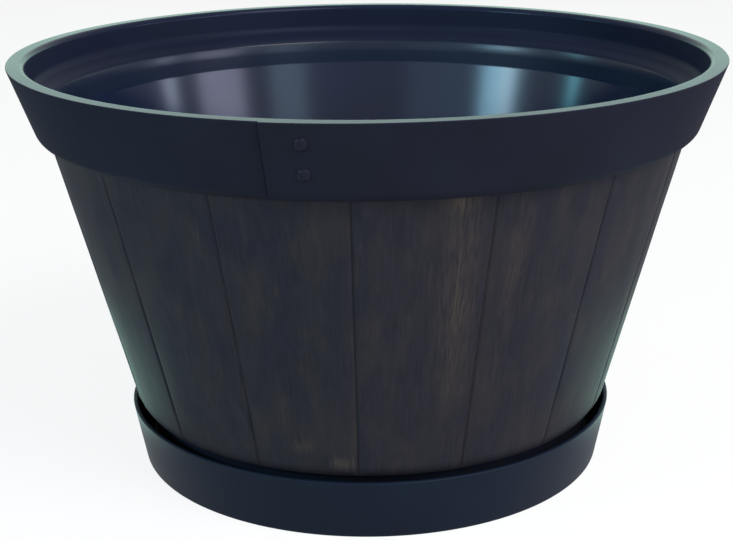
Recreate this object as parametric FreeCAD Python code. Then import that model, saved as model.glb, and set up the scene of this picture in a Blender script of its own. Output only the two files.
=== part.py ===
"""Moulded barrel planter: a one-piece resin tub that imitates staves under a riveted hoop, standing in its own saucer.

Millimetres and degrees, +Z up. The origin is the middle of the saucer's foot on the floor, and the front faces -Y.
Azimuth is counted from the front and grows towards +X.
"""

import FreeCAD, Part
import math
import os

from FreeCAD import Vector

# Overall sizes
planter_height = 232.0
rim_diameter = 394.0
rim_width = 10.0
wall_draft = 14.6
tub_wall = 3.6
tub_floor = 4.0

# Hoop moulded round the rim
hoop_height = 40.0
hoop_flare = 14.6
hoop_projection = 5.6
hoop_round = 5.5
hoop_wall = 5.2

# Ledge inside the rim, the back of the hoop
ledge_depth = 20.0
ledge_fall = 7.0
ledge_upright = 8.0
ledge_nose = 0.8
ledge_nose_round = 6.0

# Lapped end of the hoop and its two rivet heads
lap_azimuth = -14.1
lap_run = 21.0
lap_rise = 1.6
rivet_count = 2
rivet_setback = 5.35
rivet_depth = 9.2
rivet_spacing = 15.1
rivet_diameter = 6.4
rivet_height = 1.3
rivet_root = 1.0

# Grooves between the staves
stave_count = 16
stave_azimuth = -2.7
groove_width = 2.2
groove_depth = 1.3

# Foot of the tub, which stands inside the saucer
shoulder_gap = 6.0
shoulder_rise = 5.0
shoulder_slope = 3.6
shoulder_step = 8.1
foot_draft = 6.7
foot_ring_width = 6.0
foot_ring_height = 5.0
drain_count = 5
drain_diameter = 12.0
drain_inset = 51.0

# Saucer
saucer_height = 33.5
saucer_overhang = 3.0
saucer_draft = 10.65
saucer_wall = 2.6
saucer_floor = 2.6
saucer_recess = 1.5
saucer_edge = 1.8
standing_ring_width = 14.0

# Ribs in the saucer that carry the tub and keep it central
rib_count = 8
rib_width = 3.0
rib_height = 5.0
rib_inner_radius = 38.0
rib_root = 1.0
lug_height = 9.0
lug_clearance = 0.6

# Heights, leans and radii that follow from them
axis_base = Vector(0, 0, 0)
axis_up = Vector(0, 0, 1)
rim_radius = rim_diameter / 2
hoop_foot_z = planter_height - hoop_height
hoop_foot_radius = rim_radius - hoop_flare
shoulder_z = saucer_height + shoulder_gap
step_z = shoulder_z - shoulder_rise
saucer_floor_z = saucer_recess + saucer_floor
seat_z = saucer_floor_z + rib_height
floor_under_z = seat_z + foot_ring_height
floor_top_z = floor_under_z + tub_floor
wall_lean = math.tan(math.radians(wall_draft))
foot_lean = math.tan(math.radians(foot_draft))
saucer_lean = math.tan(math.radians(saucer_draft))
hoop_lean = hoop_flare / hoop_height


def wall_radius(z):
    """Outside of the staved wall at a height."""
    return hoop_foot_radius - hoop_projection - wall_lean * (hoop_foot_z - z)


def hoop_radius(z):
    """Outside of the hoop at a height."""
    return hoop_foot_radius + hoop_lean * (z - hoop_foot_z)


def foot_radius(z):
    """Outside of the tub's foot at a height."""
    return wall_radius(shoulder_z) - shoulder_step - foot_lean * (step_z - z)


def saucer_radius(z):
    """Outside of the saucer's wall at a height."""
    return wall_radius(shoulder_z) + saucer_overhang - saucer_lean * (saucer_height - z)


def level(thickness, lean):
    """Thickness of a leaning wall, measured level."""
    return thickness * math.hypot(1, lean)


def at_azimuth(azimuth, radius, z):
    """Point at an azimuth, a radius and a height."""
    turn = math.radians(azimuth)
    return Vector(radius * math.sin(turn), -radius * math.cos(turn), z)


def rounded_outline(corners):
    """Closed outline in the XZ plane through corners (r, z, round), each rounded as far as its two runs allow."""
    points = [Vector(r, 0, z) for r, z, _ in corners]

    def share(neighbour):
        return 0.48 if corners[neighbour][2] else 0.96

    bends = []
    for i, (_, _, rounding) in enumerate(corners):
        here = points[i]
        back = points[i - 1] - here
        ahead = points[(i + 1) % len(points)] - here
        half = back.getAngle(ahead) / 2
        room = min(back.Length * share(i - 1), ahead.Length * share((i + 1) % len(points)))
        radius = min(rounding, room * math.tan(half))
        run = radius / math.tan(half)
        back.normalize()
        ahead.normalize()
        inward = (back + ahead).normalize()
        crown = here + inward * (radius / math.sin(half) - radius)
        bends.append((here + back * run, crown, here + ahead * run))
    edges = []
    for i, (start, crown, end) in enumerate(bends):
        if not start.isEqual(end, 1e-6):
            edges.append(Part.Arc(start, crown, end).toShape())
        edges.append(Part.LineSegment(end, bends[(i + 1) % len(bends)][0]).toShape())
    return Part.Wire(edges)


def turned(corners):
    """Solid turned about the planter's axis from an outline of corners."""
    return Part.Face(rounded_outline(corners)).revolve(axis_base, axis_up, 360)


def round_the_axis(shape, count, first_azimuth=0.0):
    """Copies of a shape that stands at the front, evenly spaced round the axis."""
    copies = []
    for i in range(count):
        copy = shape.copy()
        copy.rotate(axis_base, axis_up, first_azimuth + i * 360 / count)
        copies.append(copy)
    return copies


def tub_shell():
    """Tub without its lap, rivets, grooves and drain holes."""
    ledge_z = planter_height - ledge_depth
    nose_z = ledge_z - ledge_fall
    ledge_foot_z = nose_z - ledge_upright
    shelf_z = step_z + tub_wall
    wall_level = level(tub_wall, wall_lean)
    foot_level = level(tub_wall, foot_lean)
    ledge_foot_radius = wall_radius(ledge_foot_z) - wall_level
    ring_inner_radius = foot_radius(seat_z) - foot_ring_width
    return turned([
        (0, floor_under_z, 0),
        (ring_inner_radius, floor_under_z, 0),
        (ring_inner_radius, seat_z, 0),
        (foot_radius(seat_z), seat_z, 0),
        (foot_radius(step_z), step_z, 0),
        (wall_radius(shoulder_z) - shoulder_slope, step_z, 0),
        (wall_radius(shoulder_z), shoulder_z, 0),
        (wall_radius(hoop_foot_z), hoop_foot_z, 0),
        (hoop_foot_radius, hoop_foot_z, hoop_round),
        (rim_radius, planter_height, 0),
        (rim_radius - rim_width, planter_height, 0),
        (hoop_radius(ledge_z) - hoop_wall, ledge_z, 0),
        (ledge_foot_radius + ledge_nose, nose_z, ledge_nose_round),
        (ledge_foot_radius, ledge_foot_z, 0),
        (wall_radius(shelf_z) - wall_level, shelf_z, 0),
        (foot_radius(shelf_z) - foot_level, shelf_z, 0),
        (foot_radius(floor_top_z) - foot_level, floor_top_z, 0),
        (0, floor_top_z, 0),
    ])


def lap_offset():
    """How far the lapped end's centre is off the axis, at a right angle to where the lap runs out."""
    return lap_rise / math.sin(math.radians(lap_run))


def hoop_lap():
    """Lapped end of the hoop: the hoop's own section, set off centre so that it rises out of the hoop at the lap."""
    skin = min(hoop_wall, rim_width) / 2
    section = turned([
        (hoop_foot_radius - hoop_projection / 2, hoop_foot_z, 0),
        (hoop_foot_radius, hoop_foot_z, hoop_round),
        (rim_radius, planter_height, 0),
        (rim_radius - skin, planter_height, 0),
    ])
    section.translate(at_azimuth(lap_azimuth + lap_run - 90, lap_offset(), 0))
    wedge = Part.makeCylinder(rim_radius + lap_offset(), planter_height, axis_base, axis_up, lap_run)
    wedge.rotate(axis_base, axis_up, lap_azimuth - 90)
    return section.common(wedge)


def rivet_head(depth):
    """Domed rivet head on the lap, at a depth below the rim."""
    z = planter_height - depth
    azimuth = lap_azimuth + rivet_setback
    rise = lap_offset() * math.sin(math.radians(lap_run - rivet_setback))
    lean = math.atan(hoop_lean)
    seat = at_azimuth(azimuth, hoop_radius(z) + rise, z)
    outward = at_azimuth(azimuth, math.cos(lean), -math.sin(lean))
    dome = ((rivet_diameter / 2) ** 2 + rivet_height ** 2) / (2 * rivet_height)
    sunk = dome - rivet_height
    root_latitude = math.degrees(math.asin((sunk - rivet_root) / dome))
    return Part.makeSphere(dome, seat - outward * sunk, outward, root_latitude, 90, 360)


def stave_grooves():
    """Vee grooves between the staves, from below the shoulder up to the hoop."""
    start_z = step_z
    start_radius = wall_radius(start_z)
    proud = groove_depth
    half = groove_width / 2 * (groove_depth + proud) / groove_depth
    bottom = Vector(0, groove_depth - start_radius, start_z)
    left = Vector(-half, -start_radius - proud, start_z)
    right = Vector(half, -start_radius - proud, start_z)
    section = Part.Face(Part.makePolygon([bottom, left, right, bottom]))
    along = Vector(0, start_radius - wall_radius(hoop_foot_z), hoop_foot_z - start_z)
    return round_the_axis(section.extrude(along), stave_count, stave_azimuth)


def drain_holes():
    """Drain holes through the tub's floor."""
    place = at_azimuth(0, foot_radius(seat_z) - drain_inset, seat_z)
    hole = Part.makeCylinder(drain_diameter / 2, floor_top_z, place, axis_up)
    return round_the_axis(hole, drain_count)


def make_tub():
    """Tub: wall with staves, hoop with lap and rivets, ledge, floor and foot, in one moulding."""
    rivets = [rivet_head(rivet_depth + i * rivet_spacing) for i in range(rivet_count)]
    shell = tub_shell().fuse([hoop_lap()] + rivets)
    return shell.cut(stave_grooves() + drain_holes()).removeSplitter()


def saucer_rib():
    """Rib at the front of the saucer: a low web that the tub's foot stands on, and a lug outside the foot."""
    lug_z = seat_z + lug_height
    root_z = saucer_floor_z - rib_root
    wall_inset = level(saucer_wall, saucer_lean) - rib_root
    corners = [
        (rib_inner_radius, root_z),
        (rib_inner_radius, saucer_floor_z),
        (rib_inner_radius + rib_height, seat_z),
        (foot_radius(seat_z) + lug_clearance, seat_z),
        (foot_radius(lug_z) + lug_clearance, lug_z),
        (saucer_radius(lug_z) - wall_inset, lug_z),
        (saucer_radius(root_z) - wall_inset, root_z),
    ]
    points = [Vector(-rib_width / 2, -r, z) for r, z in corners]
    return Part.Face(Part.makePolygon(points + points[:1])).extrude(Vector(rib_width, 0, 0))


def make_saucer():
    """Saucer: leaning wall, floor on a standing ring, and ribs under and round the tub's foot."""
    wall_level = level(saucer_wall, saucer_lean)
    ring_radius = saucer_radius(0) - saucer_edge
    ring_inner_radius = ring_radius - standing_ring_width
    tray = turned([
        (0, saucer_recess, 0),
        (ring_inner_radius - saucer_recess, saucer_recess, 0),
        (ring_inner_radius, 0, 0),
        (ring_radius, 0, 0),
        (saucer_radius(saucer_edge), saucer_edge, 0),
        (saucer_radius(saucer_height), saucer_height, 0),
        (saucer_radius(saucer_height) - wall_level, saucer_height, 0),
        (saucer_radius(saucer_floor_z) - wall_level, saucer_floor_z, 0),
        (0, saucer_floor_z, 0),
    ])
    return tray.fuse(round_the_axis(saucer_rib(), rib_count, 180 / rib_count)).removeSplitter()


def main():
    os.makedirs("parts", exist_ok=True)
    for name, shape in (("tub", make_tub()), ("saucer", make_saucer())):
        shape.exportStep(f"parts/{name}.step")
        state = "valid" if shape.isValid() else "not valid"
        print(f"{name}: {len(shape.Solids)} solid, {state}, {shape.Volume / 1000:.1f} cm3")
    print(f"wall foot {2 * wall_radius(shoulder_z):.1f}, saucer lip {2 * saucer_radius(saucer_height):.1f},"
          f" saucer base {2 * saucer_radius(0):.1f}, tub foot {2 * foot_radius(seat_z):.1f}")


main()
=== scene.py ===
# Barrel planter: a resin tub moulded as staves under a riveted hoop, standing in its saucer.
# The CAD pieces give the place and the size; the two mouldings are modelled again here with their finish.
import math

import bmesh
import bpy
from mathutils import Matrix, Vector, noise


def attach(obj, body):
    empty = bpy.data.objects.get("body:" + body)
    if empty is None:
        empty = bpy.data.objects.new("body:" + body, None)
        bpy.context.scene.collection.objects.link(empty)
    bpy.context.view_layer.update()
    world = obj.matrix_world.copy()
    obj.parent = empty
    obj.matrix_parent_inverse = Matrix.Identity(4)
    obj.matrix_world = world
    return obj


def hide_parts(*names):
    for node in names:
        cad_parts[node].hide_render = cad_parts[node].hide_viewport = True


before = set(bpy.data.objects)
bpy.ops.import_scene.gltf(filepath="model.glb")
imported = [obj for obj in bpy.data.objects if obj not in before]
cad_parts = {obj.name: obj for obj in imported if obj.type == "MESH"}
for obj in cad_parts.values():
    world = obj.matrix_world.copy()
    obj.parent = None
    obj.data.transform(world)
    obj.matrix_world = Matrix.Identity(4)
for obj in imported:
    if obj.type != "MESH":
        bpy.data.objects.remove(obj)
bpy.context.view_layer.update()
mm = 0.001
slack = 0.1  # mm, for telling which part of a profile a vertex is on


# helpers

def hexColour(code):
    parts = [int(code[i:i + 2], 16) / 255 for i in (1, 3, 5)]
    return [c / 12.92 if c <= 0.04045 else ((c + 0.055) / 1.055) ** 2.4 for c in parts] + [1.0]


def addNode(tree, kind, settings=None, inputs=None):
    # settings are the node's own properties; inputs are values, or outputs to link
    node = tree.nodes.new(kind)
    for key, value in (settings or {}).items():
        setattr(node, key, value)
    for key, value in (inputs or {}).items():
        if isinstance(value, bpy.types.NodeSocket):
            tree.links.new(value, node.inputs[key])
        else:
            node.inputs[key].default_value = value
    return node


def newMaterial(name):
    material = bpy.data.materials.new(name)
    material.use_nodes = True
    material.node_tree.nodes.clear()
    return material, material.node_tree


def addObject(name, bm, materials):
    mesh = bpy.data.meshes.new(name)
    bm.to_mesh(mesh)
    bm.free()
    for material in materials:
        mesh.materials.append(material)
    piece = bpy.data.objects.new(name, mesh)
    bpy.context.scene.collection.objects.link(piece)
    return piece


def azimuthOf(co):
    # degrees from the front (-Y), growing towards +X
    return math.degrees(math.atan2(co.x, -co.y))


def atAzimuth(azimuth, radius, z):
    turn = math.radians(azimuth)
    return Vector((radius * math.sin(turn), -radius * math.cos(turn), z))


def lean(degrees):
    return math.tan(math.radians(degrees))


def holdEdges(bm, hold):
    # a row close to each end of a straight run keeps its shading flat
    for edge in [e for e in bm.edges if e.calc_length() > 5 * hold]:
        start, end = edge.verts
        length = edge.calc_length()
        middle = bmesh.utils.edge_split(edge, start, hold / length)[1]
        rest = [e for e in middle.link_edges if end in e.verts][0]
        bmesh.utils.edge_split(rest, end, hold / rest.calc_length())


def turnProfile(corners, columns, startAzimuth=0.0, hold=0.0, rows=None):
    # corners are (radius, height, run of the rounding, segments) in mm
    bm = bmesh.new()
    chain = [bm.verts.new((r * mm, 0, z * mm)) for r, z, run, segments in corners]
    for first, second in zip(chain, chain[1:]):
        bm.edges.new((first, second))
    for vert, (r, z, run, segments) in zip(chain, corners):
        if run:
            bmesh.ops.bevel(bm, geom=[vert], offset=run * mm, offset_type="OFFSET", affect="VERTICES",
                            segments=segments, profile=0.5, material=-1)
    if hold:
        holdEdges(bm, hold * mm)
    for edge in bm.edges[:] if rows else []:
        mid = (edge.verts[0].co + edge.verts[1].co) / 2
        cuts = rows(mid.x / mm, mid.z / mm, edge.calc_length() / mm)
        if cuts:
            bmesh.ops.subdivide_edges(bm, edges=[edge], cuts=cuts)
    bmesh.ops.rotate(bm, cent=(0, 0, 0), verts=bm.verts,
                     matrix=Matrix.Rotation(math.radians(startAzimuth - 90), 3, "Z"))
    bmesh.ops.spin(bm, geom=bm.verts[:] + bm.edges[:], cent=(0, 0, 0), axis=(0, 0, 1), dvec=(0, 0, 0),
                   angle=math.tau, steps=columns, use_merge=True)
    bmesh.ops.remove_doubles(bm, verts=bm.verts, dist=0.001 * mm)
    bmesh.ops.recalc_face_normals(bm, faces=bm.faces)
    for face in bm.faces:
        face.smooth = True
    return bm


# tub

tub = {
    "rimRadius": 197.0, "height": 232.0, "rimWidth": 10.0,
    "hoopHeight": 40.0, "hoopFlare": 14.6, "hoopProjection": 5.6, "hoopWall": 5.2,
    "ledgeDepth": 16.0, "ledgeCurve": [(5.0, 2.4), (9.4, 4.8), (10.9, 10.4)], "ledgeFootDepth": 36.3,
    "wallDraft": 14.6, "wall": 3.6, "footDraft": 6.7,
    "shoulderZ": 39.5, "stepZ": 34.5, "shoulderStep": 8.1, "shoulderRun": 3.6,
    "seatZ": 9.1, "ringWidth": 6.0, "ringHeight": 5.0, "floor": 4.0,
    "drains": 5, "drainDiameter": 12.0, "drainInset": 51.0, "drainSides": 40,
    "hold": 0.35, "rowHeight": 9.0,
    # run of the rounding at each corner, and its segments
    "rounds": {
        "floorUnder": (2.0, 3), "ringInner": (0.6, 2), "ringOuter": (0.8, 2), "step": (0.8, 2),
        "shoulderUnder": (1.0, 3), "shoulder": (2.4, 5), "hoopFoot": (5.2, 9), "rimOuter": (0.7, 3),
        "rimInner": (2.8, 7), "ledgeTop": (3.2, 7), "ledge": (2.3, 6), "ledgeFoot": (0.5, 2), "shelfOuter": (2.5, 4),
        "shelfInner": (2.0, 3), "floorTop": (3.0, 4),
    },
    # depths below the rim where the inside changes finish
    "rimFinish": 2.6, "noseFinish": 22.7, "ledgeFinish": 35.7,
}
stave = {
    "count": 16, "azimuth": -2.7, "columns": 40, "drawnIn": 0.55,
    "grooveHalfWidth": 0.85, "grooveDepth": 1.1, "edgeRoll": 0.25, "edgeRollReach": 3.0,
    "wave": 0.16, "waveWidth": 11.0, "waveLength": 160.0, "waveShift": 3.7, "fade": 12.0, "footFade": 4.0,
    # how far from the wall's cone a vertex still belongs to the staves
    "outside": 0.4, "inside": 4.2, "shoulderInside": 1.5, "shoulderDrop": 1.3,
}
lap = {
    "azimuth": -14.1, "run": 21.0, "rise": 1.6, "edge": 0.02, "slitWidth": 0.28, "slitDepth": 0.4,
    # the rise is whole near the hoop's foot, and above it fades out through the hoop's thickness
    "wholeBelow": 8.0, "fadeStart": 1.0, "fade": 6.0, "reach": 14.0, "underHeight": 5.0, "underInside": 1.0,
}

hoopFoot = tub["height"] - tub["hoopHeight"]
floorUnder = tub["seatZ"] + tub["ringHeight"]
floorTop = floorUnder + tub["floor"]
staveStep = 360 / stave["count"]


def wallRadius(z):
    top = tub["rimRadius"] - tub["hoopFlare"] - tub["hoopProjection"]
    return top - lean(tub["wallDraft"]) * (hoopFoot - z)


def hoopRadius(z):
    return tub["rimRadius"] - tub["hoopFlare"] * (tub["height"] - z) / tub["hoopHeight"]


def footRadius(z):
    return wallRadius(tub["shoulderZ"]) - tub["shoulderStep"] - lean(tub["footDraft"]) * (tub["stepZ"] - z)


middleRadius = wallRadius((hoopFoot + tub["shoulderZ"]) / 2)


def tubProfile():
    height = tub["height"]
    ledgeZ = height - tub["ledgeDepth"]
    ledgeFootZ = height - tub["ledgeFootDepth"]
    shelfZ = tub["stepZ"] + tub["wall"]
    wallLevel = tub["wall"] / math.cos(math.radians(tub["wallDraft"]))
    footLevel = tub["wall"] / math.cos(math.radians(tub["footDraft"]))
    ringInner = footRadius(tub["seatZ"]) - tub["ringWidth"]
    ledgeTop = hoopRadius(ledgeZ) - tub["hoopWall"]
    rounds = tub["rounds"]
    return [
        (0, floorUnder, 0, 0),
        (ringInner, floorUnder, *rounds["floorUnder"]),
        (ringInner, tub["seatZ"], *rounds["ringInner"]),
        (footRadius(tub["seatZ"]), tub["seatZ"], *rounds["ringOuter"]),
        (footRadius(tub["stepZ"]), tub["stepZ"], *rounds["step"]),
        (wallRadius(tub["shoulderZ"]) - tub["shoulderRun"], tub["stepZ"], *rounds["shoulderUnder"]),
        (wallRadius(tub["shoulderZ"]), tub["shoulderZ"], *rounds["shoulder"]),
        (wallRadius(hoopFoot), hoopFoot, 0, 0),
        (hoopRadius(hoopFoot), hoopFoot, *rounds["hoopFoot"]),
        (tub["rimRadius"], height, *rounds["rimOuter"]),
        (tub["rimRadius"] - tub["rimWidth"], height, *rounds["rimInner"]),
        (ledgeTop, ledgeZ, *rounds["ledgeTop"]),
        *((ledgeTop - inset, ledgeZ - drop, *rounds["ledge"]) for inset, drop in tub["ledgeCurve"]),
        (wallRadius(ledgeFootZ) - wallLevel, ledgeFootZ, *rounds["ledgeFoot"]),
        (wallRadius(shelfZ) - wallLevel, shelfZ, *rounds["shelfOuter"]),
        (footRadius(shelfZ) - footLevel, shelfZ, *rounds["shelfInner"]),
        (footRadius(floorTop) - footLevel, floorTop, *rounds["floorTop"]),
        (0, floorTop, 0, 0),
    ]


def wallRows(r, z, length):
    onWall = abs(r - wallRadius(z)) < 0.5 and tub["shoulderZ"] < z < hoopFoot
    return int(length / tub["rowHeight"]) if onWall else 0


def onStaves(r, z):
    # the wall's outer face, and its shoulder down to the step
    inset = wallRadius(z) - r
    if not -stave["outside"] < inset < stave["inside"] or not tub["stepZ"] - slack < z < hoopFoot + slack:
        return False
    return z < tub["shoulderZ"] - stave["shoulderDrop"] or inset < stave["shoulderInside"]


def shapeStaves(bm):
    # columns draw in towards the grooves; each stave gets a groove, rolled edges and a slow wave
    for vert in bm.verts:
        r = math.hypot(vert.co.x, vert.co.y) / mm
        z = vert.co.z / mm
        if r < 1:
            continue
        azimuth = azimuthOf(vert.co)
        share = ((azimuth - stave["azimuth"]) / staveStep) % 1.0
        moved = share - stave["drawnIn"] * math.sin(math.tau * share) / math.tau
        azimuth += (moved - share) * staveStep
        if onStaves(r, z):
            gap = min(moved, 1 - moved) * math.radians(staveStep) * r
            depth = stave["grooveDepth"] * max(0.0, 1 - gap / stave["grooveHalfWidth"])
            depth += stave["edgeRoll"] * math.exp(-gap / stave["edgeRollReach"])
            depth *= min(1.0, (z - tub["stepZ"]) / stave["footFade"])
            plank = math.floor((azimuth - stave["azimuth"]) / staveStep)
            place = Vector((math.radians(azimuth) * r / stave["waveWidth"], z / stave["waveLength"],
                            stave["waveShift"] * plank))
            reach = min(hoopFoot - z, z - tub["stepZ"]) / stave["fade"]
            depth += stave["wave"] * noise.noise(place) * min(1.0, max(0.0, reach))
            r -= depth
        vert.co = atAzimuth(azimuth, r * mm, vert.co.z)


def lapRise(azimuth):
    past = azimuth - lap["azimuth"]
    if not 0 <= past <= lap["run"]:
        return 0.0
    return lap["rise"] * math.sin(math.radians(lap["run"] - past)) / math.sin(math.radians(lap["run"]))


def onHoop(r, z):
    # not the staved wall below the hoop's foot, nor the inside of the tub behind it
    inset = hoopRadius(z) - r
    above = z > hoopFoot + lap["underHeight"] or r > wallRadius(z) - lap["underInside"]
    return z > hoopFoot - 0.1 * slack and inset < lap["reach"] and above


def shapeLap(bm):
    # the end of the hoop's band stands proud of its start, with a slit along the lap
    columns = sorted({round(azimuthOf(v.co), 3) for v in bm.verts if abs(v.co.z - tub["height"] * mm) < 1e-7})
    left = [a for a in columns if a < lap["azimuth"]][-2:]
    right = [a for a in columns if a >= lap["azimuth"]][:1]
    target = {left[0]: (lap["azimuth"] - lap["slitWidth"], 0.0),
              left[1]: (lap["azimuth"] - lap["edge"], lap["slitDepth"]),
              right[0]: (lap["azimuth"] + lap["edge"], 0.0)}
    for vert in bm.verts:
        z = vert.co.z / mm
        r = math.hypot(vert.co.x, vert.co.y) / mm
        if not onHoop(r, z):
            continue
        azimuth = azimuthOf(vert.co)
        slit = 0.0
        for column, (place, depth) in target.items():
            if abs(azimuth - column) < 0.02:
                azimuth, slit = place, depth
        faded = 1 - (hoopRadius(z) - r - lap["fadeStart"]) / lap["fade"]
        share = 1.0 if z < hoopFoot + lap["wholeBelow"] else min(1.0, max(0.0, faded))
        vert.co = atAzimuth(azimuth, (r + (lapRise(azimuth) - slit) * share) * mm, vert.co.z)
    for edge in bm.edges:
        first, second = edge.verts
        flat = abs(azimuthOf(first.co) - azimuthOf(second.co)) < 0.005
        near = min(abs(azimuthOf(first.co) - place) for place, depth in target.values()) < 0.005
        if flat and near and onHoop(math.hypot(first.co.x, first.co.y) / mm, first.co.z / mm):
            edge.smooth = False


def tubFinishes(bm):
    # 0 satin hoop and foot, 1 staved wall, 2 gloss inside, 3 band inside the hoop and top of the ledge,
    # 4 satin nose of the ledge, its colour partly a painted highlight, 5 rim
    limits = [(tub["rimFinish"], 5), (tub["noseFinish"], 3), (tub["ledgeFinish"], 4), (tub["height"], 2)]
    for face in bm.faces:
        centre = face.calc_center_median()
        r = math.hypot(centre.x, centre.y) / mm
        z = centre.z / mm
        outward = face.normal.dot(Vector((centre.x, centre.y, 0)).normalized()) if r > 1 else 0
        if tub["stepZ"] - 0.5 < z < hoopFoot - 0.01 and outward > 0.2:
            face.material_index = 1
        elif z > floorTop - 0.5 and (outward < -0.1 or face.normal.z > 0.6):
            depth = tub["height"] - z
            face.material_index = [finish for limit, finish in limits if depth < limit][0]


def grainMap(bm):
    # u runs round the wall from the first groove and v up it, in metres at the wall's middle
    layer = bm.loops.layers.uv.new("grain")
    for face in bm.faces:
        around = azimuthOf(face.calc_center_median())
        for loop in face.loops:
            azimuth = azimuthOf(loop.vert.co)
            azimuth += 360 * round((around - azimuth) / 360)
            loop[layer].uv = (math.radians(azimuth - stave["azimuth"]) * middleRadius * mm, loop.vert.co.z)


def cutDrains(piece):
    # round drain holes through the floor; the cutter is removed again
    bm = bmesh.new()
    radius = tub["drainDiameter"] / 2 * mm
    for i in range(tub["drains"]):
        place = atAzimuth(i * 360 / tub["drains"], (footRadius(tub["seatZ"]) - tub["drainInset"]) * mm,
                          (floorUnder + floorTop) / 2 * mm)
        bmesh.ops.create_cone(bm, cap_ends=True, segments=tub["drainSides"], radius1=radius,
                              radius2=radius, depth=3 * tub["floor"] * mm, matrix=Matrix.Translation(place))
    cutter = addObject("drainCutter", bm, [])
    cut = piece.modifiers.new("drains", "BOOLEAN")
    cut.operation = "DIFFERENCE"
    cut.solver = "EXACT"
    cut.object = cutter
    mesh = bpy.data.meshes.new_from_object(piece.evaluated_get(bpy.context.evaluated_depsgraph_get()))
    piece.modifiers.clear()
    piece.data = mesh
    bpy.data.objects.remove(cutter)


def makeTub(materials):
    bm = turnProfile(tubProfile(), stave["count"] * stave["columns"], stave["azimuth"], tub["hold"], wallRows)
    shapeStaves(bm)
    shapeLap(bm)
    bm.normal_update()
    tubFinishes(bm)
    grainMap(bm)
    piece = addObject("tubMoulding", bm, materials)
    cutDrains(piece)
    return piece


# rivet heads on the lap

rivet = {"azimuth": -8.75, "depths": {"Upper": 10.1, "Lower": 25.2}, "diameter": 7.0, "height": 2.0,
         "root": 0.5, "sides": 40, "domeRows": 7}


def makeRivet(name, depth, material):
    # a domed head, turned about its own axis and set on the band
    radius = rivet["diameter"] / 2
    ball = (radius ** 2 + rivet["height"] ** 2) / (2 * rivet["height"])
    half = math.asin(radius / ball)
    rows = rivet["domeRows"]
    dome = [(ball * math.sin(half * i / rows), rivet["height"] - ball * (1 - math.cos(half * i / rows)), 0, 0)
            for i in range(rows, -1, -1)]
    bm = turnProfile([(0, -rivet["root"], 0, 0), (radius, -rivet["root"], 0, 0)] + dome, rivet["sides"])
    z = tub["height"] - depth
    slope = math.atan(tub["hoopFlare"] / tub["hoopHeight"])
    outward = atAzimuth(rivet["azimuth"], math.cos(slope), -math.sin(slope))
    seat = atAzimuth(rivet["azimuth"], (hoopRadius(z) + lapRise(rivet["azimuth"])) * mm, z * mm)
    turn = outward.to_track_quat("Z", "Y").to_matrix().to_4x4()
    bmesh.ops.transform(bm, matrix=Matrix.Translation(seat) @ turn, verts=bm.verts)
    return addObject(name, bm, [material])


# saucer

saucer = {
    "height": 33.5, "lipRadius": 140.1, "draft": 10.65, "wall": 2.6, "floor": 2.6, "recess": 1.5,
    "ringWidth": 14.0, "edge": 1.8, "columns": 256, "hold": 0.3,
    "ribs": 8, "ribWidth": 3.0, "ribHeight": 5.0, "ribInnerRadius": 38.0, "lugHeight": 9.0,
    "lugClearance": 0.6, "ribRoot": 0.6, "ribBevel": 0.5,
    "rounds": {"ring": (0.4, 2), "foot": (0.9, 4), "lipOuter": (1.0, 4), "lipInner": (0.9, 4), "floor": (3.0, 5)},
}
saucerFloor = saucer["recess"] + saucer["floor"]
saucerLevel = saucer["wall"] / math.cos(math.radians(saucer["draft"]))


def saucerRadius(z):
    return saucer["lipRadius"] - lean(saucer["draft"]) * (saucer["height"] - z)


def makeSaucer(material):
    ringInner = saucerRadius(0) - saucer["edge"] - saucer["ringWidth"]
    rounds = saucer["rounds"]
    bm = turnProfile([
        (0, saucer["recess"], 0, 0),
        (ringInner - saucer["recess"], saucer["recess"], *rounds["ring"]),
        (ringInner, 0, *rounds["ring"]),
        (saucerRadius(0), 0, *rounds["foot"]),
        (saucer["lipRadius"], saucer["height"], *rounds["lipOuter"]),
        (saucer["lipRadius"] - saucerLevel, saucer["height"], *rounds["lipInner"]),
        (saucerRadius(saucerFloor) - saucerLevel, saucerFloor, *rounds["floor"]),
        (0, saucerFloor, 0, 0),
    ], saucer["columns"], hold=saucer["hold"])
    return addObject("saucerMoulding", bm, [material])


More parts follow.
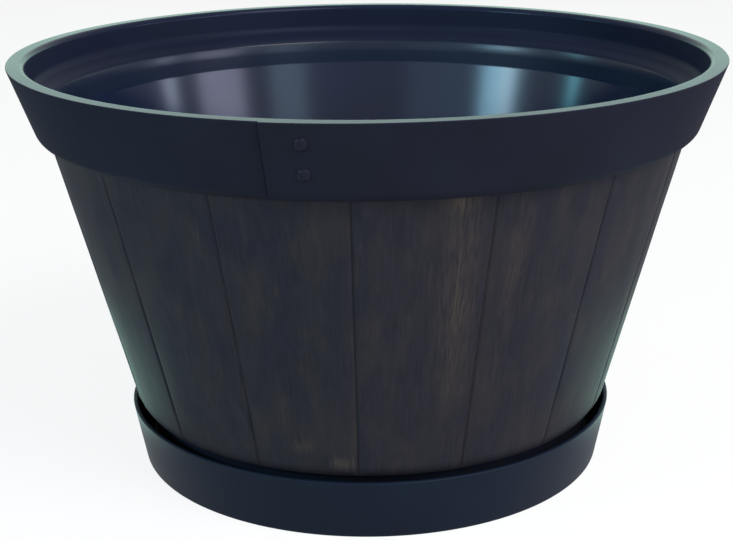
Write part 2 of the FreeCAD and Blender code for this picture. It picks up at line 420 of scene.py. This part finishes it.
def makeSaucerRibs(material):
    # each rib is a low web that carries the tub's foot, with a lug outside it
    root = saucerFloor - saucer["ribRoot"]
    seat = tub["seatZ"]
    lugZ = seat + saucer["lugHeight"]
    inset = saucerLevel - saucer["ribRoot"]
    outline = [
        (saucer["ribInnerRadius"], root),
        (saucer["ribInnerRadius"], saucerFloor),
        (saucer["ribInnerRadius"] + saucer["ribHeight"], seat),
        (footRadius(seat) + saucer["lugClearance"], seat),
        (footRadius(lugZ) + saucer["lugClearance"], lugZ),
        (saucerRadius(lugZ) - inset, lugZ),
        (saucerRadius(root) - inset, root),
    ]
    bm = bmesh.new()
    side = bm.faces.new([bm.verts.new((-saucer["ribWidth"] / 2 * mm, -r * mm, z * mm)) for r, z in outline])
    grown = bmesh.ops.extrude_face_region(bm, geom=[side])
    far = [g for g in grown["geom"] if isinstance(g, bmesh.types.BMVert)]
    bmesh.ops.translate(bm, vec=(saucer["ribWidth"] * mm, 0, 0), verts=far)
    bmesh.ops.recalc_face_normals(bm, faces=bm.faces)
    upper = [e for e in bm.edges if min(v.co.z for v in e.verts) > (root + slack) * mm]
    bmesh.ops.bevel(bm, geom=upper, offset=saucer["ribBevel"] * mm, offset_type="OFFSET", affect="EDGES",
                    segments=2, profile=0.5, material=-1)
    first = bm.verts[:] + bm.edges[:] + bm.faces[:]
    for i in range(1, saucer["ribs"]):
        copied = bmesh.ops.duplicate(bm, geom=first)
        verts = [g for g in copied["geom"] if isinstance(g, bmesh.types.BMVert)]
        bmesh.ops.rotate(bm, cent=(0, 0, 0), verts=verts,
                         matrix=Matrix.Rotation(math.tau * i / saucer["ribs"], 3, "Z"))
    bmesh.ops.rotate(bm, cent=(0, 0, 0), verts=bm.verts,
                     matrix=Matrix.Rotation(math.pi / saucer["ribs"], 3, "Z"))
    return addObject("saucerRibs", bm, [material])


# finishes

resin = {"ior": 1.49, "gritDepth": 0.1, "grainDepth": 0.25}
grain = {
    # width and length of each layer in mm, then its noise's detail and distortion
    "streak": (1.3, 15.0, 4.0, 0.7), "cluster": (8.0, 32.0, 2.0, 0.2), "patch": (20.0, 38.0, 3.0, 0.2),
    # the part of each layer's noise that shows, and how strongly
    "tanned": (0.5, 0.8, 0.15), "fibre": (0.25, 0.75), "browned": (0.38, 0.7, 0.5),
    "cool": "#27262d", "deep": "#212025", "brown": "#2f2c2b", "tan": "#4f4538",
    "roughness": (0.5, 0.64), "specular": 0.016, "relief": 0.2,
    # where the tan is brushed on heaviest: staves from the first groove, height, half width, half height, weight
    "brushed": [(0.79, 138.0, 12.0, 74.0, 0.55), (0.74, 189.0, 10.0, 8.0, 0.7), (-0.14, 43.0, 11.0, 6.0, 0.8),
                (-0.52, 53.0, 10.0, 6.0, 0.5), (1.22, 150.0, 8.0, 55.0, 0.35)],
}


def stavedResin():
    # polypropylene moulded with a sawn grain and dry-brushed brown and tan: dull, streaked up the staves
    material, tree = newMaterial("stavedPolypropylene")
    uv = addNode(tree, "ShaderNodeUVMap", {"uv_map": "grain"}).outputs["UV"]
    across = addNode(tree, "ShaderNodeSeparateXYZ", {}, {"Vector": uv}).outputs["X"]
    staveArc = math.radians(staveStep) * middleRadius * mm
    number = addNode(tree, "ShaderNodeMath", {"operation": "DIVIDE"}, {0: across, 1: staveArc}).outputs[0]
    number = addNode(tree, "ShaderNodeMath", {"operation": "FLOOR"}, {0: number}).outputs[0]
    own = addNode(tree, "ShaderNodeTexWhiteNoise", {"noise_dimensions": "1D"}, {"W": number})
    shifted = addNode(tree, "ShaderNodeVectorMath", {"operation": "ADD"}, {0: uv, 1: own.outputs["Color"]}).outputs[0]
    layers = {}
    for name in ("streak", "cluster", "patch"):
        width, length, detail, distortion = grain[name]
        scaled = addNode(tree, "ShaderNodeMapping", {},
                         {"Vector": shifted, "Scale": (1 / (width * mm), 1 / (length * mm), 1)})
        layers[name] = addNode(tree, "ShaderNodeTexNoise", {"noise_dimensions": "2D"},
                               {"Vector": scaled.outputs[0], "Scale": 1.0, "Detail": detail,
                                "Roughness": 0.55, "Distortion": distortion}).outputs["Fac"]
    low, high, most = grain["tanned"]
    heavy = addNode(tree, "ShaderNodeMapRange", {},
                    {"Value": layers["cluster"], "From Min": low, "From Max": high, "To Max": most}).outputs[0]
    for place, height, halfWidth, halfHeight, weight in grain["brushed"]:
        scale = (1 / (halfWidth * mm), 1 / (halfHeight * mm), 1)
        centred = addNode(tree, "ShaderNodeMapping", {},
                          {"Vector": uv, "Scale": scale,
                           "Location": (-place * staveArc * scale[0], -height * mm * scale[1], 0)})
        spot = addNode(tree, "ShaderNodeTexGradient", {"gradient_type": "SPHERICAL"}, {"Vector": centred.outputs[0]})
        heavy = addNode(tree, "ShaderNodeMath", {"operation": "MULTIPLY_ADD", "use_clamp": True},
                        {0: spot.outputs["Fac"], 1: weight, 2: heavy}).outputs[0]
    low, high = grain["fibre"]
    fibre = addNode(tree, "ShaderNodeMapRange", {},
                    {"Value": layers["streak"], "From Min": low, "From Max": high}).outputs[0]
    tanned = addNode(tree, "ShaderNodeMath", {"operation": "MULTIPLY"}, {0: fibre, 1: heavy}).outputs[0]
    low, high, most = grain["browned"]
    browned = addNode(tree, "ShaderNodeMapRange", {},
                      {"Value": layers["patch"], "From Min": low, "From Max": high, "To Max": most}).outputs[0]
    colour = addNode(tree, "ShaderNodeMix", {"data_type": "RGBA"},
                     {"Factor": fibre, "A": hexColour(grain["deep"]), "B": hexColour(grain["cool"])})
    colour = addNode(tree, "ShaderNodeMix", {"data_type": "RGBA"},
                     {"Factor": browned, "A": colour.outputs["Result"], "B": hexColour(grain["brown"])})
    colour = addNode(tree, "ShaderNodeMix", {"data_type": "RGBA"},
                     {"Factor": tanned, "A": colour.outputs["Result"], "B": hexColour(grain["tan"])})
    low, high = grain["roughness"]
    rough = addNode(tree, "ShaderNodeMapRange", {}, {"Value": layers["streak"], "To Min": low, "To Max": high})
    bump = addNode(tree, "ShaderNodeBump", {},
                   {"Height": layers["streak"], "Strength": grain["relief"], "Distance": resin["grainDepth"] * mm})
    shader = addNode(tree, "ShaderNodeBsdfPrincipled", {},
                     {"Base Color": colour.outputs["Result"], "Roughness": rough.outputs[0],
                      "Normal": bump.outputs[0], "IOR": resin["ior"], "Specular IOR Level": grain["specular"]})
    addNode(tree, "ShaderNodeOutputMaterial", {}, {"Surface": shader.outputs[0]})
    return material


# size of the clouds and of the grit in mm; the grit is drawn coarser than the real one so that it shows
# hoop and foot: dull satin
hoopTone = {"cloud": 45.0, "grit": 1.2, "low": "#18191f", "high": "#1e202a", "roughness": (0.64, 0.74),
            "relief": 0.2, "specular": 0.012}
# rivet heads: a small soft glint
rivetTone = {"cloud": 45.0, "grit": 1.2, "low": "#15161d", "high": "#1b1c26", "roughness": (0.3, 0.36),
             "relief": 0.1, "specular": 0.045}
# inside: gloss that mirrors the windows
insideTone = {"cloud": 60.0, "grit": 2.5, "low": "#081124", "high": "#0c1830", "roughness": (0.15, 0.22),
              "relief": 0.06, "specular": 0.245}
# rim: pale where it mirrors the far side of the room
rimTone = {"cloud": 60.0, "grit": 1.6, "low": "#111628", "high": "#161e31", "roughness": (0.2, 0.27),
           "relief": 0.12, "specular": 0.065}
# band inside the hoop: satin, nearly even
bandTone = {"cloud": 60.0, "grit": 1.6, "low": "#121625", "high": "#171d2c", "roughness": (0.4, 0.48),
            "relief": 0.12, "specular": 0.04}
# nose of the ledge: soft streaks of the windows; its colour is painted lighter than the gloss inside below it, so it
# is partly a painted highlight on the nose
ledgeToneWithPaintedHighlight = {"cloud": 60.0, "grit": 1.6, "low": "#111927", "high": "#172030", "roughness": (0.22, 0.28),
             "relief": 0.12, "specular": 0.18}
# saucer: satin, paler towards its ends
saucerTone = {"cloud": 50.0, "grit": 1.2, "low": "#0c131e", "high": "#111a27", "roughness": (0.44, 0.54),
              "relief": 0.2, "specular": 0.075}


def mouldedResin(name, tone):
    # polypropylene as it leaves the mould: even colour in faint clouds, with a grit that breaks up the gloss
    material, tree = newMaterial(name)
    where = addNode(tree, "ShaderNodeTexCoord").outputs["Object"]
    cloud = addNode(tree, "ShaderNodeTexNoise", {},
                    {"Vector": where, "Scale": 1 / (tone["cloud"] * mm), "Detail": 3.0}).outputs["Fac"]
    grit = addNode(tree, "ShaderNodeTexNoise", {},
                   {"Vector": where, "Scale": 1 / (tone["grit"] * mm), "Detail": 2.0}).outputs["Fac"]
    colour = addNode(tree, "ShaderNodeMix", {"data_type": "RGBA"},
                     {"Factor": cloud, "A": hexColour(tone["low"]), "B": hexColour(tone["high"])})
    low, high = tone["roughness"]
    rough = addNode(tree, "ShaderNodeMapRange", {}, {"Value": cloud, "To Min": low, "To Max": high})
    bump = addNode(tree, "ShaderNodeBump", {},
                   {"Height": grit, "Strength": tone["relief"], "Distance": resin["gritDepth"] * mm})
    shader = addNode(tree, "ShaderNodeBsdfPrincipled", {},
                     {"Base Color": colour.outputs["Result"], "Roughness": rough.outputs[0],
                      "Normal": bump.outputs[0], "IOR": resin["ior"], "Specular IOR Level": tone["specular"]})
    addNode(tree, "ShaderNodeOutputMaterial", {}, {"Surface": shader.outputs[0]})
    return material


hoopResin = mouldedResin("satinHoopPolypropylene", hoopTone)
rivetResin = mouldedResin("polishedRivetPolypropylene", rivetTone)
insideResin = mouldedResin("glossInsidePolypropylene", insideTone)
rimResin = mouldedResin("polishedRimPolypropylene", rimTone)
bandResin = mouldedResin("satinInnerBandPolypropylene", bandTone)
# the ledge's lighter colour is a painted highlight on top of the moulding's own dark navy
ledgeResinWithPaintedHighlight = mouldedResin("satinLedgePolypropyleneWithPaintedHighlight", ledgeToneWithPaintedHighlight)
saucerResin = mouldedResin("satinSaucerPolypropylene", saucerTone)
wallResin = stavedResin()
print("finishes made")

tubPiece = makeTub([hoopResin, wallResin, insideResin, bandResin, ledgeResinWithPaintedHighlight, rimResin])
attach(tubPiece, "tub")
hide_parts("tub")
print("tub made:", len(tubPiece.data.polygons), "faces")

for label, depth in rivet["depths"].items():
    head = makeRivet("rivetHead" + label, depth, rivetResin)
    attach(head, "tub")
print("rivet heads made")

saucerPiece = makeSaucer(saucerResin)
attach(saucerPiece, "saucer")
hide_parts("saucer")
ribsPiece = makeSaucerRibs(saucerResin)
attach(ribsPiece, "saucer")
print("saucer made:", len(saucerPiece.data.polygons), "faces")


# floor, light and camera

stage = {"floorSize": 6.0, "floorColour": "#ececea", "floorGlow": 0.87, "roomLight": 0.3}
softboxes = {
    # azimuth and elevation from the planter, distance, width and height in metres, watts, colour
    "windowLeft": (-59.3, 21.5, 1.7, 0.43, 0.30, 14.4, "#9edcf8"),
    "paneLeft": (-63.0, 21.5, 1.68, 0.09, 0.30, 1.6, "#fff6ec"),
    "windowRight": (66, 17.5, 1.7, 0.60, 0.52, 10.7, "#d4d6f6"),
    "screenRight": (35, 17.5, 1.9, 0.50, 0.56, 3.8, "#bee2ff"),
    "windowFarLeft": (-95, 19, 1.9, 0.13, 0.36, 4.3, "#87eaff"),
    "windowFarRight": (90.5, 14, 1.9, 0.17, 0.5, 5.1, "#d2e0fa"),
    "screenLeft": (-30, 17.5, 1.9, 0.80, 0.56, 1.8, "#a6dcff"),
    "screenBehind": (180, 11.5, 1.9, 2.2, 0.34, 2.4, "#90ffd8"),
    "fillRight": (40, 48, 1.9, 1.0, 1.0, 39.5, "#f2f2f2"),
}
# pale cards lying on the floor at both sides, which light the lower sides from below, in metres and watts
floorCard = {"across": 0.205, "behind": 0.06, "lift": 0.004, "width": 0.09, "depth": 0.26, "power": 0.32,
             "colour": "#bcf6e4"}
# worked out from the ellipses of the rim, hoop and saucer; metres, degrees, pixels and mm of sensor
camera = {
    "distance": 0.826, "height": 0.3656, "pitch": 17.63, "roll": -0.56,
    "focalPixels": 1484.5, "principalX": 369.2, "imageWidth": 733, "sensorWidth": 36.0,
}


def seenRays(tree):
    # camera, glossy and transmission rays, which see the plain white background
    path = addNode(tree, "ShaderNodeLightPath").outputs
    seen = addNode(tree, "ShaderNodeMath", {"operation": "MAXIMUM"},
                   {0: path["Is Camera Ray"], 1: path["Is Glossy Ray"]}).outputs[0]
    return addNode(tree, "ShaderNodeMath", {"operation": "MAXIMUM"},
                   {0: seen, 1: path["Is Transmission Ray"]}).outputs[0]


def makeFloor():
    bm = bmesh.new()
    bmesh.ops.create_grid(bm, x_segments=1, y_segments=1, size=stage["floorSize"])
    material, tree = newMaterial("paleFloor")
    lit = addNode(tree, "ShaderNodeBsdfDiffuse", {}, {"Color": hexColour(stage["floorColour"])}).outputs[0]
    glow = addNode(tree, "ShaderNodeEmission", {}, {"Color": (1, 1, 1, 1), "Strength": 1.0}).outputs[0]
    pale = addNode(tree, "ShaderNodeMixShader", {}, {"Fac": stage["floorGlow"], 1: lit, 2: glow}).outputs[0]
    shown = addNode(tree, "ShaderNodeMixShader", {}, {"Fac": seenRays(tree), 1: lit, 2: pale})
    addNode(tree, "ShaderNodeOutputMaterial", {}, {"Surface": shown.outputs[0]})
    addObject("floor", bm, [material])


def makeWorld():
    world = bpy.data.worlds.new("whiteRoom")
    bpy.context.scene.world = world
    world.use_nodes = True
    tree = world.node_tree
    tree.nodes.clear()
    soft = addNode(tree, "ShaderNodeBackground", {}, {"Color": (1, 1, 1, 1), "Strength": stage["roomLight"]})
    white = addNode(tree, "ShaderNodeBackground", {}, {"Color": (1, 1, 1, 1), "Strength": 1.0})
    shown = addNode(tree, "ShaderNodeMixShader", {},
                    {"Fac": seenRays(tree), 1: soft.outputs[0], 2: white.outputs[0]})
    addNode(tree, "ShaderNodeOutputWorld", {}, {"Surface": shown.outputs[0]})


def addLamp(name, place, aim, width, height, power, colour):
    data = bpy.data.lights.new(name, "AREA")
    data.shape = "RECTANGLE"
    data.size = width
    data.size_y = height
    data.energy = power
    data.color = hexColour(colour)[:3]
    lamp = bpy.data.objects.new(name, data)
    lamp.location = place
    lamp.rotation_euler = aim.to_track_quat("-Z", "Y").to_euler()
    lamp.visible_camera = False
    bpy.context.scene.collection.objects.link(lamp)


def addSoftbox(name, azimuth, elevation, distance, width, height, power, colour):
    target = Vector((0, 0, tub["height"] / 2 * mm))
    rise = math.radians(elevation)
    place = target + atAzimuth(azimuth, math.cos(rise) * distance, math.sin(rise) * distance)
    addLamp(name, place, target - place, width, height, power, colour)


def addFloorCard(name, side):
    place = Vector((side * floorCard["across"], floorCard["behind"], floorCard["lift"]))
    addLamp(name, place, Vector((0, 0, 1)), floorCard["width"], floorCard["depth"], floorCard["power"],
            floorCard["colour"])


def makeCamera():
    data = bpy.data.cameras.new("photoCamera")
    data.sensor_width = camera["sensorWidth"]
    data.lens = camera["focalPixels"] * camera["sensorWidth"] / camera["imageWidth"]
    data.shift_x = (camera["imageWidth"] / 2 - camera["principalX"]) / camera["imageWidth"]
    view = bpy.data.objects.new("photoCamera", data)
    tilt = Matrix.Rotation(math.radians(90 - camera["pitch"]), 4, "X")
    roll = Matrix.Rotation(math.radians(camera["roll"]), 4, "Z")
    view.matrix_world = Matrix.Translation((0, -camera["distance"], camera["height"])) @ tilt @ roll
    bpy.context.scene.collection.objects.link(view)
    bpy.context.scene.camera = view


makeFloor()
makeWorld()
for label, settings in softboxes.items():
    addSoftbox(label, *settings)
addFloorCard("cardLeft", -1)
addFloorCard("cardRight", 1)
makeCamera()
bpy.context.scene.view_settings.view_transform = "Standard"
print("stage and camera made")
